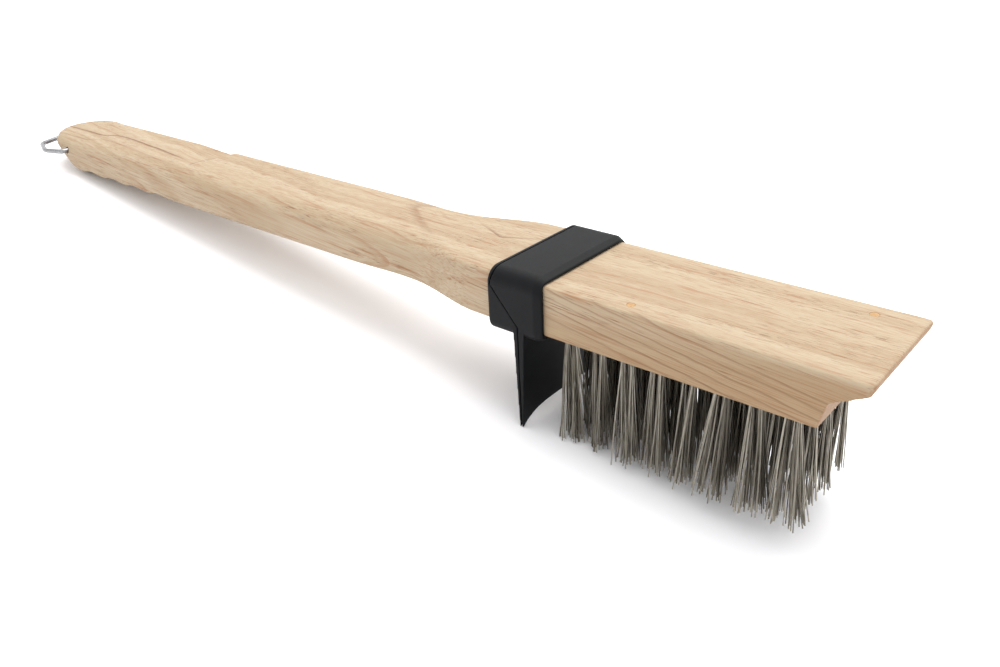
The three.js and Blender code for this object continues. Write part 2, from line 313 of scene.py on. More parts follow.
# ---- Node helpers ----------------------------------------------------------------------------
class Nodes:
    """Short calls for building a material's node tree."""

    def __init__(self, name):
        self.material = bpy.data.materials.new(name)
        self.material.use_nodes = True
        self.tree = self.material.node_tree
        self.shader = self.tree.nodes["Principled BSDF"]

    def add(self, kind, **settings):
        node = self.tree.nodes.new(kind)
        for key, value in settings.items():
            setattr(node, key, value)
        return node

    def link(self, source, target):
        if isinstance(source, (int, float, tuple)):
            target.default_value = source
        else:
            self.tree.links.new(source, target)

    def math(self, operation, a, b=0.0):
        node = self.add("ShaderNodeMath", operation=operation)
        for value, socket in zip((a, b), node.inputs):
            self.link(value, socket)
        return node.outputs[0]

    def noise(self, vector, scale, detail=2.0, roughness=0.5):
        node = self.add("ShaderNodeTexNoise")
        self.link(vector, node.inputs["Vector"])
        node.inputs["Scale"].default_value = scale
        node.inputs["Detail"].default_value = detail
        node.inputs["Roughness"].default_value = roughness
        return node.outputs["Fac"]

    def noise_1d(self, w, scale, detail=1.0):
        node = self.add("ShaderNodeTexNoise", noise_dimensions="1D")
        self.link(w, node.inputs["W"])
        node.inputs["Scale"].default_value = scale
        node.inputs["Detail"].default_value = detail
        return node.outputs["Fac"]

    def range(self, value, low, high, to_low=0.0, to_high=1.0):
        node = self.add("ShaderNodeMapRange", interpolation_type="SMOOTHSTEP")
        self.link(value, node.inputs["Value"])
        node.inputs["From Min"].default_value = low
        node.inputs["From Max"].default_value = high
        node.inputs["To Min"].default_value = to_low
        node.inputs["To Max"].default_value = to_high
        return node.outputs["Result"]

    def scaled(self, vector, x, y, z, offset=(0, 0, 0)):
        node = self.add("ShaderNodeMapping")
        self.link(vector, node.inputs["Vector"])
        node.inputs["Location"].default_value = offset
        node.inputs["Scale"].default_value = (x, y, z)
        return node.outputs["Vector"]

    def mix(self, factor, a, b, blend="MIX"):
        node = self.add("ShaderNodeMix", data_type="RGBA", blend_type=blend)
        self.link(factor, node.inputs["Factor"])
        self.link(a, node.inputs[6])
        self.link(b, node.inputs[7])
        return node.outputs[2]

    def bump(self, height, distance):
        node = self.add("ShaderNodeBump")
        node.inputs["Strength"].default_value = 1.0
        node.inputs["Distance"].default_value = distance
        self.link(height, node.inputs["Height"])
        return node.outputs["Normal"]

    def brush_coordinates(self):
        """The point in the brush frame, in millimetres."""
        coordinates = self.add("ShaderNodeTexCoord").outputs["Object"]
        node = self.add("ShaderNodeMapping")
        self.link(coordinates, node.inputs["Vector"])
        node.inputs["Scale"].default_value = (1000, 1000, 1000)
        node.inputs["Rotation"].default_value = (0, PITCH, 0)
        node.inputs["Location"].default_value = -(Matrix.Rotation(PITCH, 4, "Y") @ ORIGIN) * 1000
        return node.outputs["Vector"]


def srgb(red, green, blue):
    """A colour given as it is seen, 0 to 255, in the linear values that a shader takes."""
    def linear(value):
        value /= 255
        return value / 12.92 if value <= 0.04045 else ((value + 0.055) / 1.055) ** 2.4
    return (linear(red), linear(green), linear(blue), 1.0)


# ---- Materials -------------------------------------------------------------------------------
PALE_WOOD = (170, 154, 130)
TAN_WOOD = (154, 134, 107)
ROSE_WOOD = (145, 108, 78)
BROWN_WOOD = (104, 66, 38)

# Where the grain's main lines run, in millimetres in the brush frame.
WIDE_ARCH_Y = 7.5
WIDE_ARCH_REAR_X = -88.0
WIDE_ARCH_FRONT_X = -42
WIDE_ARCH_SPREAD = 0.63
SMALL_ARCH_X = -37.8
GRIP_LINE_REAR_X = -303
GRIP_LINE_MIDDLE_X = -289
GRIP_LINE_FRONT_X = -219
SCOOP_ARC_X = -200.0
SCOOP_ARC_Y = 8.0
SCOOP_ARC_SQUASH = 0.75
SCOOP_ARC_RADII = (11.5, 14.0, 16.8, 20.0)
SIDE_LAYERS = ((-9.8, 0.6), (-6.4, 1.0), (-3.1, 0.7), (-0.4, 0.9), (2.6, 0.7), (5.2, 0.8))
HEAD_FADE_X = (-4, 2)
NEAR_SIDE_FADE_Y = (-22.6, -21.4)
GRIP_DRIFT_FROM_X = -120.0


def grain_line(n, field, place, width):
    """1 where field is place, falling to 0 within width above it and three widths below it."""
    low = n.range(field, place - 3 * width, place)
    high = n.range(field, place, place + width, 1.0, 0.0)
    return n.math("MULTIPLY", low, high)


def neck_lines(n, x, y, wander):
    """Two arches in the cut through the neck: one wide and faint, one small with a dark tip."""
    from_apex = n.math("SUBTRACT", y, WIDE_ARCH_Y)
    wide = n.math("SQRT", n.math("ADD", n.math("MULTIPLY", from_apex, from_apex), 5.0))
    from_rear = n.math("ADD", x, -WIDE_ARCH_REAR_X)
    wide = n.math("SUBTRACT", n.math("MULTIPLY", from_rear, WIDE_ARCH_SPREAD), wide)
    wide = grain_line(n, n.math("ADD", wide, wander), 0.0, 1.5)
    wide = n.math("MULTIPLY", wide, n.range(x, WIDE_ARCH_REAR_X, WIDE_ARCH_FRONT_X, 0.65, 0.0))
    along = n.math("ADD", x, -SMALL_ARCH_X)
    small = n.math("MULTIPLY", n.math("MULTIPLY", along, along), 0.22)
    small = n.math("SQRT", n.math("ADD", small, 0.3))
    small = n.math("SUBTRACT", n.math("ADD", small, 1.2), y)
    small = n.math("ADD", small, n.math("MULTIPLY", wander, 0.3))
    fade = n.range(n.math("ABSOLUTE", along), 0, 20, 1.3, 0.1)
    small = n.math("MULTIPLY", grain_line(n, small, 0.0, 0.5), fade)
    return n.math("ADD", wide, small)


def grip_lines(n, x, y, wander):
    """The wavy line along the thumb side of the grip's end, and a fainter one beside it."""
    rear = n.range(x, GRIP_LINE_REAR_X, GRIP_LINE_MIDDLE_X, -5.0, -0.4)
    front = n.range(x, GRIP_LINE_MIDDLE_X, GRIP_LINE_FRONT_X, 0.0, -4.6)
    course = n.math("ADD", rear, front)
    field = n.math("ADD", n.math("SUBTRACT", y, course), n.math("MULTIPLY", wander, 0.35))
    beside = n.math("MULTIPLY", grain_line(n, field, -8.5, 0.4), 0.6)
    lines = n.math("ADD", n.math("MULTIPLY", grain_line(n, field, 0.0, 0.6), 1.5), beside)
    return n.math("MULTIPLY", lines, n.range(x, -236, -218, 1.0, 0.0))


def scoop_lines(n, x, y, z):
    """Nested arcs where the thumb rest cuts down through the layers behind its deepest line."""
    across = n.math("MULTIPLY", n.math("SUBTRACT", y, SCOOP_ARC_Y), SCOOP_ARC_SQUASH)
    along = n.math("ADD", x, -SCOOP_ARC_X)
    reach = n.math("ADD", n.math("MULTIPLY", across, across), n.math("MULTIPLY", along, along))
    reach = n.math("SQRT", reach)
    lines = 0.0
    for place in SCOOP_ARC_RADII:
        lines = n.math("ADD", lines, grain_line(n, reach, place, 0.5))
    behind = n.range(x, SCOOP_DEEP_X, SCOOP_DEEP_X + 1.5, 1.0, 0.0)
    in_scoop = n.math("MULTIPLY", behind, n.range(y, SCOOP_LEVEL_Y, SCOOP_LEVEL_Y + 4))
    in_scoop = n.math("MULTIPLY", in_scoop, n.range(z, -7, -4))
    return n.math("MULTIPLY", n.math("MULTIPLY", lines, in_scoop), 0.7)


def side_lines(n, x, y, z, wander):
    """Growth layers on the head's near side, where they run out towards the nose."""
    field = n.math("ADD", n.math("ADD", n.math("MULTIPLY", x, 0.155), z), n.math("MULTIPLY", wander, 0.5))
    lines = 0.0
    for place, strength in SIDE_LAYERS:
        lines = n.math("ADD", lines, n.math("MULTIPLY", grain_line(n, field, place, 0.26), strength))
    on_side = n.math("MULTIPLY", n.range(x, *HEAD_FADE_X), n.range(y, *NEAR_SIDE_FADE_Y, 1.0, 0.0))
    return n.math("MULTIPLY", lines, on_side)


def wood_material():
    n = Nodes("rubberwood")
    p = n.brush_coordinates()
    axes = n.add("ShaderNodeSeparateXYZ")
    n.link(p, axes.inputs[0])
    x, y, z = axes.outputs

    # Growth layers: nearly upright sheets that drift slowly along the length, more so in the grip.
    drift = n.noise(n.scaled(p, 0.009, 0.03, 0.03), 1.0, 2.0)
    ripple = n.noise(n.scaled(p, 0.03, 0.12, 0.12, (40, 0, 0)), 1.0, 1.0)
    layer = n.math("ADD", n.math("MULTIPLY", z, 0.25), y)
    layer = n.math("ADD", layer, n.math("MULTIPLY", x, 0.03))
    into_grip = n.math("MINIMUM", n.math("ADD", x, -GRIP_DRIFT_FROM_X), 0.0)
    layer = n.math("ADD", layer, n.math("MULTIPLY", into_grip, 0.09))
    layer = n.math("ADD", layer, n.math("MULTIPLY", drift, 18.0))
    layer = n.math("ADD", layer, n.math("MULTIPLY", ripple, 4.0))
    broad = n.range(n.noise_1d(layer, 0.17, 2.0), 0.36, 0.66)
    edge = n.range(n.math("FRACT", n.math("MULTIPLY", layer, 0.16)), 0.80, 0.97)
    patch = n.range(n.noise(n.scaled(p, 0.018, 0.09, 0.09, (11, 5, 0)), 1.0, 2.0), 0.50, 0.68)

    # Fibres, streaks and pores all run along a grain that dives a little towards the nose.
    dive = n.add("ShaderNodeCombineXYZ")
    n.link(x, dive.inputs[0])
    n.link(y, dive.inputs[1])
    n.link(n.math("ADD", z, n.math("MULTIPLY", x, 0.07)), dive.inputs[2])
    grain = dive.outputs[0]
    fibres = n.noise(n.scaled(grain, 0.05, 2.4, 2.4), 1.0, 4.0, 0.65)
    streaks = n.noise(n.scaled(grain, 0.02, 0.9, 0.9, (5, 2, 8)), 1.0, 3.0, 0.6)
    pores = n.noise(n.scaled(grain, 0.08, 2.8, 2.8, (7, 3, 1)), 1.0, 2.0, 0.6)
    zone = n.noise(n.scaled(p, 0.015, 0.12, 0.12, (3, 9, 2)), 1.0, 2.0)
    pore = n.math("MULTIPLY", n.range(pores, 0.58, 0.70), n.range(zone, 0.40, 0.6, 0.15, 1.0))
    streak = n.math("MULTIPLY", n.range(streaks, 0.54, 0.72), n.range(zone, 0.35, 0.6, 0.35, 1.0))

    colour = n.mix(n.math("MULTIPLY", broad, 0.75), srgb(*PALE_WOOD), srgb(*TAN_WOOD))
    colour = n.mix(n.math("MULTIPLY", n.math("MULTIPLY", edge, patch), 0.7), colour, srgb(*ROSE_WOOD))
    colour = n.mix(n.range(fibres, 0.42, 0.72, 0.0, 0.55), colour, srgb(*ROSE_WOOD))
    colour = n.mix(n.math("MULTIPLY", streak, 0.9), colour, srgb(*ROSE_WOOD))
    wander = n.math("SUBTRACT", n.noise(n.scaled(p, 0.05, 0.10, 0.10), 1.0, 2.0), 0.5)
    wander = n.math("MULTIPLY", wander, 4.0)
    lines = n.math("ADD", neck_lines(n, x, y, wander), grip_lines(n, x, y, wander))
    lines = n.math("ADD", n.math("ADD", lines, scoop_lines(n, x, y, z)), side_lines(n, x, y, z, wander))
    colour = n.mix(n.math("MULTIPLY", n.math("MINIMUM", lines, 1.5), 0.5), colour, srgb(*BROWN_WOOD))

    # Painted shade: below the head's top edge the wood is made browner and darker, most of all low down
    # and towards the nose.
    depth = n.math("SUBTRACT", n.math("MULTIPLY", x, 0.16), z)
    below = n.math("MULTIPLY", n.range(z, -2.4, -1.2, 1.0, 0.0), n.range(x, *HEAD_FADE_X))
    below = n.math("MULTIPLY", below, n.range(depth, 3, 24, 0.0, 0.7))
    colour = n.mix(below, colour, n.mix(1.0, colour, srgb(222, 200, 172), "MULTIPLY"))
    colour = n.mix(n.math("MULTIPLY", pore, 0.6), colour, srgb(*BROWN_WOOD))

    # Darker where the surface faces along the length: end grain drinks in more finish, and this is also
    # painted shade on the nose front.
    facing = n.add("ShaderNodeVectorMath", operation="DOT_PRODUCT")
    n.link(n.add("ShaderNodeNewGeometry").outputs["Normal"], facing.inputs[0])
    n.link((math.cos(PITCH), 0.0, math.sin(PITCH)), facing.inputs[1])
    end_grain_and_painted_shade = n.range(n.math("ABSOLUTE", facing.outputs["Value"]), 0.45, 0.95, 0.0, 0.6)
    colour = n.mix(end_grain_and_painted_shade, colour, srgb(*ROSE_WOOD))
    n.link(colour, n.shader.inputs["Base Color"])

    n.link(n.range(fibres, 0.3, 0.7, 0.52, 0.66), n.shader.inputs["Roughness"])
    n.shader.inputs["Specular IOR Level"].default_value = 0.25
    relief = n.math("SUBTRACT", n.math("MULTIPLY", fibres, 0.4), n.math("MULTIPLY", pore, 0.8))
    n.link(n.bump(relief, 0.00008), n.shader.inputs["Normal"])
    return n.material


def plug_material():
    n = Nodes("amber_plug")
    p = n.brush_coordinates()
    mottle = n.noise(p, 1.3, 3.0, 0.6)
    colour = n.mix(n.range(mottle, 0.35, 0.65), srgb(172, 134, 86), srgb(156, 116, 66))
    n.link(colour, n.shader.inputs["Base Color"])
    n.link(n.range(mottle, 0.3, 0.7, 0.4, 0.55), n.shader.inputs["Roughness"])
    n.link(n.bump(mottle, 0.00005), n.shader.inputs["Normal"])
    return n.material


def coating_material():
    n = Nodes("matte_black_coating")
    p = n.brush_coordinates()
    grain = n.noise(p, 5.0, 2.0, 0.7)
    cloud = n.noise(p, 0.12, 3.0)
    colour = n.mix(n.range(cloud, 0.3, 0.7), srgb(9, 10, 12), srgb(13, 14, 16))
    n.link(colour, n.shader.inputs["Base Color"])
    n.link(n.range(grain, 0.3, 0.7, 0.46, 0.56), n.shader.inputs["Roughness"])
    n.shader.inputs["Specular IOR Level"].default_value = 0.13
    n.link(n.bump(grain, 0.00003), n.shader.inputs["Normal"])
    return n.material


def bristle_material():
    n = Nodes("bristle_wire")
    tone = n.add("ShaderNodeAttribute", attribute_name="wire_tone").outputs["Fac"]
    p = n.brush_coordinates()
    stain = n.noise(n.scaled(p, 1.5, 1.5, 0.35), 1.0, 3.0)
    colour = n.mix(tone, srgb(100, 95, 86), srgb(162, 157, 146))
    colour = n.mix(n.range(stain, 0.45, 0.8, 0.0, 0.5), colour, srgb(96, 84, 66))
    n.link(colour, n.shader.inputs["Base Color"])
    n.shader.inputs["Metallic"].default_value = 1.0
    n.link(n.range(stain, 0.3, 0.7, 0.3, 0.45), n.shader.inputs["Roughness"])
    return n.material


def steel_material(name, low, high, roughness, stretch):
    n = Nodes(name)
    p = n.brush_coordinates()
    draw_marks = n.noise(n.scaled(p, *stretch), 1.0, 3.0, 0.6)
    n.link(n.mix(n.range(draw_marks, 0.3, 0.7), low, high), n.shader.inputs["Base Color"])
    n.shader.inputs["Metallic"].default_value = 1.0
    n.link(n.range(draw_marks, 0.3, 0.7, roughness, roughness + 0.12), n.shader.inputs["Roughness"])
    n.link(n.bump(draw_marks, 0.00002), n.shader.inputs["Normal"])
    return n.material


# ---- The board -------------------------------------------------------------------------------
def half_width(x):
    if x > NECK_X:
        return lerp(NECK_HALF_WIDTH, HEAD_HALF_WIDTH, smoothstep(NECK_X, NECK_FRONT_X, x))
    return lerp(NECK_HALF_WIDTH, GRIP_HALF_WIDTH, smoothstep(NECK_X, GRIP_X, x))


def plan_outline():
    """The board's outline from above, as points from the nose round the far side and back."""
    points = []
    steps = 8
    for i in range(steps + 1):
        a = i / steps * math.pi / 2
        points.append((
            NOSE_X - NOSE_CORNER + NOSE_CORNER * math.cos(a),
            HEAD_HALF_WIDTH - NOSE_CORNER + NOSE_CORNER * math.sin(a),
        ))
    x = 96.0
    centre_x = END_X + GRIP_HALF_WIDTH
    while x > centre_x:
        points.append((x, half_width(x)))
        x -= 4 if NECK_FRONT_X > x > -110 else 8
    steps = 24
    for i in range(steps + 1):
        a = math.pi / 2 * (1 + i / steps)
        points.append((centre_x + GRIP_HALF_WIDTH * math.cos(a), GRIP_HALF_WIDTH * math.sin(a)))
    return points + [(x, -y) for x, y in points[-2::-1]]


def edge_radius(x, normal_x, grip_radius, tip_radius):
    if x > NECK_X and normal_x > 0.5:
        return HEAD_EDGE * 0.6
    along = lerp(HEAD_EDGE, grip_radius, smoothstep(NECK_FRONT_X, EDGE_BLEND_X, x))
    return lerp(along, tip_radius, abs(normal_x)) if x < GRIP_X else along


def board_blank():
    plan = plan_outline()
    count = len(plan)
    normals = []
    for i in range(count):
        (ax, ay), (bx, by) = plan[i - 1], plan[(i + 1) % count]
        length = math.hypot(bx - ax, by - ay)
        normals.append(((by - ay) / length, (ax - bx) / length))
    levels = 10
    verts = []
    for level in range(2 * levels):
        top = level < levels
        step = level if top else 2 * levels - 1 - level
        angle = step / (levels - 1) * math.pi / 2
        for (x, y), (nx, ny) in zip(plan, normals):
            if top:
                radius = edge_radius(x, nx, GRIP_TOP_EDGE, TIP_TOP_EDGE)
            else:
                radius = edge_radius(x, nx, GRIP_BOTTOM_EDGE, GRIP_BOTTOM_EDGE / 2)
            inset = radius * (1 - math.sin(angle))
            from_face = radius * (1 - math.cos(angle))
            depth = from_face if top else THICKNESS - from_face
            cut_back = BEVEL_SLOPE * max(depth - BEVEL_DEPTH, 0)
            weight = 1 - smoothstep(BEVEL_FROM_X, BEVEL_TO_X, x)
            verts.append((x - inset * nx + cut_back * weight, y - inset * ny, -depth))
    faces = []
    for level in range(2 * levels - 1):
        for i in range(count):
            a = level * count + i
            b = level * count + (i + 1) % count
            faces.append((a, a + count, b + count, b))
    last = (2 * levels - 1) * count
    faces.append(tuple(range(count)))
    faces.append(tuple(range(last + count - 1, last - 1, -1)))
    return outward(mesh_object("wooden_board", verts, faces))


def nose_cutter():
    cove = []
    steps = 8
    middle = (COVE_TOP[0] - 1.5, COVE_TOP[1] - 0.8)
    for i in range(steps + 1):
        t = i / steps
        cove.append(tuple(
            (1 - t) ** 2 * a + 2 * t * (1 - t) * b + t * t * c
            for a, b, c in zip(COVE_TOP, middle, COVE_BOTTOM)
        ))
    below = -THICKNESS - 5
    section = [(NOSE_X + 5, -0.5), (NOSE_X + 0.1, -0.5), LIP_BOTTOM, *cove]
    section += [(BLOCK_BOTTOM_X, -THICKNESS), (BLOCK_BOTTOM_X, below), (NOSE_X + 5, below)]
    return cross_prism("cutter", section, HEAD_HALF_WIDTH + 5)


def groove_cutter(i):
    chord = GROOVE_PITCH / 2
    radius = (chord * chord + GROOVE_DEPTH * GROOVE_DEPTH) / (2 * GROOVE_DEPTH)
    centre_x = GROOVE_FRONT_X - GROOVE_PITCH * (i + 0.5)
    centre_z = -THICKNESS - radius + GROOVE_DEPTH
    sides = 96
    section = []
    for k in range(sides):
        a = 2 * math.pi * k / sides
        section.append((centre_x + radius * math.cos(a), centre_z + radius * math.sin(a)))
    return cross_prism("cutter", section, 30)


def scoop_cutter():
    reach = math.sqrt(2 * SCOOP_REAR_RADIUS * SCOOP_HEIGHT)
    steps = 32
    section = []
    for i in range(steps + 1):
        back = reach * (1 - i / steps)
        section.append((SCOOP_DEEP_X - back, back * back / (2 * SCOOP_REAR_RADIUS)))
    section.append((SCOOP_DEEP_X + SCOOP_FRONT_RUN * 0.3, SCOOP_HEIGHT * 0.1))
    section.append((SCOOP_DEEP_X + SCOOP_FRONT_RUN, SCOOP_HEIGHT))
    cutter = cross_prism("cutter", section, 60)
    cutter.data.transform(Matrix.Rotation(-math.atan(SCOOP_TILT), 4, "X"))
    cutter.data.transform(Matrix.Translation((0, SCOOP_LEVEL_Y, 0)))
    return cutter


def tuft_places():
    for row in range(TUFT_ROWS):
        for column in range(TUFT_COLUMNS):
            x = TUFT_FIRST_X + column * TUFT_PITCH_X
            y = (row / (TUFT_ROWS - 1) - 0.5) * TUFT_ROW_SPAN
            yield row, column, x, y


def build_board(material):
    board = board_blank()
    cutters = [nose_cutter(), scoop_cutter()]
    cutters += [groove_cutter(i) for i in range(GROOVE_COUNT)]
    below = -THICKNESS - 1
    for _, _, x, y in tuft_places():
        top = -THICKNESS + TUFT_HOLE_DEPTH
        cutters.append(upright("cutter", TUFT_HOLE_RADIUS, x, y, below, top, 16))
    combine(board, cutters)
    soften(board, voxel=0.5, rounds=1, keep=0.3)
    holes = []
    for x, y in PLUG_PLACES.values():
        holes.append(upright("cutter", PLUG_RADIUS + 0.02, x, y, -PLUG_DEPTH, 1))
    for side in (-1, 1):
        top = -THICKNESS + SCREW_REACH + GAP
        holes.append(upright("cutter", SCREW_SHANK_RADIUS + GAP, SCREW_X, side * SCREW_Y, below, top))
    cross_hole = upright("cutter", RING_HOLE_RADIUS, 0, 0, -30, 30)
    cross_hole.data.transform(Matrix.Rotation(math.pi / 2, 4, "X"))
    cross_hole.data.transform(Matrix.Translation((RING_AXIS_X, 0, RING_AXIS_Z)))
    combine(board, holes + [cross_hole])
    shade(board, 50)
    return finish_piece(board, material, "brush", ["wooden_body"])


# ---- The collar ------------------------------------------------------------------------------
def rounded_section(half_y, low, high, low_radius, high_radius, steps=10):
    points = []
    corners = [(1, low, low_radius, -90), (1, high, high_radius, 0)]
    corners += [(-1, high, high_radius, 90), (-1, low, low_radius, 180)]
    for side, edge, radius, start in corners:
        centre_y = side * (half_y - radius)
        centre_z = edge + (radius if edge == low else -radius)
        for i in range(steps + 1):
            a = math.radians(start + 90 * i / steps)
            points.append((centre_y + radius * math.cos(a), centre_z + radius * math.sin(a)))
    return points


def collar_outside():
    """The collar's outer skin: rounded along its rear rim, with a shallow chamfer at the front rim."""
    rear_rim = [(0, 0.8), (0.2, 0.4), (0.55, 0.12), (1, 0)]
    front_rim = [(2.9, 0), (2.5, 0.05), (0.9, 0.62), (0.3, 0.85), (0, 1.15)]
    stations = [(COLLAR_REAR_X + run, inset) for run, inset in rear_rim]
    stations += [(COLLAR_FRONT_X - run, inset) for run, inset in front_rim]
    verts = []
    for x, inset in stations:
        section = rounded_section(
            COLLAR_HALF_WIDTH - inset, COLLAR_BOTTOM + inset, COLLAR_TOP - inset,
            COLLAR_BOTTOM_CORNER, COLLAR_TOP_CORNER)
        verts += [(x, y, z) for y, z in section]
    count = len(verts) // len(stations)
    faces = [tuple(range(count))]
    for k in range(len(stations) - 1):
        for i in range(count):
            j = (i + 1) % count
            faces.append((k * count + i, k * count + j, (k + 1) * count + j, (k + 1) * count + i))
    faces.append(tuple(range((len(stations) - 1) * count, len(stations) * count)))
    return outward(mesh_object("collar", verts, faces))


def blade_blank():
    root_z = COLLAR_BOTTOM + COLLAR_BOTTOM_CORNER
    blade = cross_prism("blade", [
        (BLADE_ROOT_REAR_X, root_z),
        (BLADE_TIP_REAR_X, BLADE_TIP_Z),
        (BLADE_TIP_FRONT_X, BLADE_TIP_Z),
        (BLADE_ROOT_FRONT_X, root_z),
    ], COLLAR_HALF_WIDTH)
    steps = 48
    arch = [(-COLLAR_HALF_WIDTH - 1, BLADE_TIP_Z - 5)]
    for i in range(steps + 1):
        t = -1 + 2 * i / steps
        rise = (BLADE_ARCH_Z - BLADE_TIP_Z) * (1 - abs(t) ** BLADE_ARCH_POWER)
        arch.append((t * COLLAR_HALF_WIDTH, BLADE_TIP_Z + rise))
    arch.append((COLLAR_HALF_WIDTH + 1, BLADE_TIP_Z - 5))
    return combine(blade, [length_prism("cutter", arch, -20, 5)])


def seam_side(direction):
    offset = direction * SEAM_GAP / 2
    edge = [(x + offset, z) for x, z in SEAM]
    far_x = direction * 40
    return cross_prism("cutter", edge + [(far_x, edge[-1][1]), (far_x, edge[0][1])], 40)


def build_collar(material):
    for name, direction in (("collar_front_shell", 1), ("collar_rear_shell", -1)):
        shell = collar_outside()
        combine(shell, [blade_blank()], "UNION")
        inner = rounded_section(
            HEAD_HALF_WIDTH + GAP, -THICKNESS - GAP, GAP, COLLAR_INNER_CORNER, COLLAR_INNER_CORNER)
        holes = [length_prism("cutter", inner, COLLAR_REAR_X - 1, COLLAR_FRONT_X + 1)]
        for side in (-1, 1):
            holes.append(upright(
                "cutter", SCREW_SHANK_RADIUS + GAP, SCREW_X, side * SCREW_Y,
                COLLAR_BOTTOM - 1, COLLAR_BOTTOM + 4))
        combine(shell, holes)
        combine(shell, [seam_side(direction)], "INTERSECT")
        soften(shell, voxel=0.26, rounds=2, keep=0.2)
        shell.name = name + "_look"
        shade(shell, 60)
        finish_piece(shell, material, "brush", [name])


# ---- Fastenings ------------------------------------------------------------------------------
def build_screws(material):
    head_top = COLLAR_BOTTOM - GAP
    low = head_top - SCREW_HEAD_HEIGHT
    shank_end = -THICKNESS + SCREW_REACH
    for name, side in (("collar_screw_near", -1), ("collar_screw_far", 1)):
        profile = [(0, low)]
        for i in range(1, 9):
            a = i / 8 * math.pi / 2
            z = head_top - SCREW_HEAD_HEIGHT * (0.3 + 0.7 * math.cos(a))
            profile.append((SCREW_HEAD_RADIUS * math.sin(a), z))
        profile += [(SCREW_HEAD_RADIUS, head_top), (SCREW_SHANK_RADIUS, head_top)]
        profile += [(SCREW_SHANK_RADIUS, shank_end - 3), (0, shank_end)]
        screw = lathe(name + "_look", profile, SCREW_X, side * SCREW_Y)
        slots = []
        for angle in (0, 90):
            slot = prism("cutter", [(-1.9, -0.35), (1.9, -0.35), (1.9, 0.35), (-1.9, 0.35)],
                         lambda a, b, z: (a, b, z), low - 1, low + 1)
            slot.data.transform(Matrix.Rotation(math.radians(angle + 20 * side), 4, "Z"))
            slot.data.transform(Matrix.Translation((SCREW_X, side * SCREW_Y, 0)))
            slots.append(slot)
        combine(screw, slots)
        shade(screw)
        finish_piece(screw, material, "brush", [name])


def build_plugs(material):
    for name, (x, y) in PLUG_PLACES.items():
        profile = [(0, -PLUG_DEPTH), (PLUG_RADIUS, -PLUG_DEPTH), (PLUG_RADIUS, -0.1)]
        profile += [(PLUG_RADIUS - 0.08, -0.02), (PLUG_RADIUS * 0.5, 0.02), (0, 0.03)]
        plug = shade(lathe(name + "_look", profile, x, y))
        finish_piece(plug, material, "brush", [name])


# ---- Bristles --------------------------------------------------------------------------------
WIRES_PER_BUNDLE = 30
WIRE_RADIUS = 0.19
WIRE_SIDES = 5
WIRE_STEPS = 7
BUNDLE_OFFSET = 1.35
BUNDLE_RADIUS = 0.8
BUNDLE_LEAN = 1.4
GOLDEN_ANGLE = 2.39996
STRAY_SHARE = 0.07
STRAY_SPREAD = 2.4
WIRE_ROOT_DEPTH = 3


def floor_z(x):
    """The height of the floor in the brush frame, under a point x."""
    return -(ORIGIN.z * 1000 + x * math.sin(PITCH)) / math.cos(PITCH)


def wire_path(rng, x, y, side, lean, index):
    angle = index * GOLDEN_ANGLE + rng.uniform(-0.3, 0.3)
    spread = math.sqrt((index + 0.5) / WIRES_PER_BUNDLE)
    disc_x = math.cos(angle) * spread
    disc_y = math.sin(angle) * spread
    root_x = x + side * BUNDLE_OFFSET + disc_x * BUNDLE_RADIUS
    root_y = y + disc_y * BUNDLE_RADIUS * 1.3
    loose = STRAY_SPREAD if rng.random() < STRAY_SHARE else 1.0
    tip_dx = lean.x + disc_x * 1.6 + rng.gauss(0, 0.7) * loose
    tip_dy = lean.y + disc_y * 3.2 + rng.gauss(0, 0.9) * loose
    tip_z = TUFT_TIP_Z + abs(rng.gauss(0, 1.3)) - 1.0
    tip_z = max(tip_z, floor_z(root_x + tip_dx) + 0.4)
    start_z = -THICKNESS + WIRE_ROOT_DEPTH
    bow_x = rng.gauss(0, 0.35)
    bow_y = rng.gauss(0, 0.35)
    points = []
    for step in range(WIRE_STEPS + 1):
        t = step / WIRE_STEPS
        z = lerp(start_z, tip_z, t)
        run = max((-THICKNESS - z) / (-THICKNESS - tip_z), 0)
        sway = math.sin(math.pi * run)
        points.append(Vector((
            root_x + tip_dx * run ** 1.15 + bow_x * sway,
            root_y + tip_dy * run ** 1.15 + bow_y * sway,
            z,
        )))
    return points


def add_wire(verts, faces, path):
    first = len(verts)
    for point in path:
        for k in range(WIRE_SIDES):
            a = 2 * math.pi * k / WIRE_SIDES
            x = point.x + WIRE_RADIUS * math.cos(a)
            y = point.y + WIRE_RADIUS * math.sin(a)
            verts.append((x, y, point.z))
    for ring in range(len(path) - 1):
        a = first + ring * WIRE_SIDES
        for k in range(WIRE_SIDES):
            j = (k + 1) % WIRE_SIDES
            faces.append((a + k, a + WIRE_SIDES + k, a + WIRE_SIDES + j, a + j))
    last = first + (len(path) - 1) * WIRE_SIDES
    faces.append(tuple(first + k for k in range(WIRE_SIDES)))
    faces.append(tuple(last + k for k in reversed(range(WIRE_SIDES))))


def build_tufts(material):
    for row, column, x, y in tuft_places():
        rng = random.Random(100 * row + column)
        verts = []
        faces = []
        tones = []
        for side in (-1, 1):
            lean = Vector((side * 0.7 + rng.gauss(0, BUNDLE_LEAN), rng.gauss(0, 0.7)))
            if column == 0:
                lean.x = max(lean.x, 1.0)
            for index in range(WIRES_PER_BUNDLE):
                before = len(verts)
                add_wire(verts, faces, wire_path(rng, x, y, side, lean, index))
                tones += [rng.random()] * (len(verts) - before)
        name = f"bristle_tuft_{row + 1}_{column + 1}"
        tuft = mesh_object(name + "_look", verts, faces)
        attribute = tuft.data.attributes.new("wire_tone", "FLOAT", "POINT")
        attribute.data.foreach_set("value", tones)
        shade(tuft, 70)
        finish_piece(tuft, material, "brush", [name])


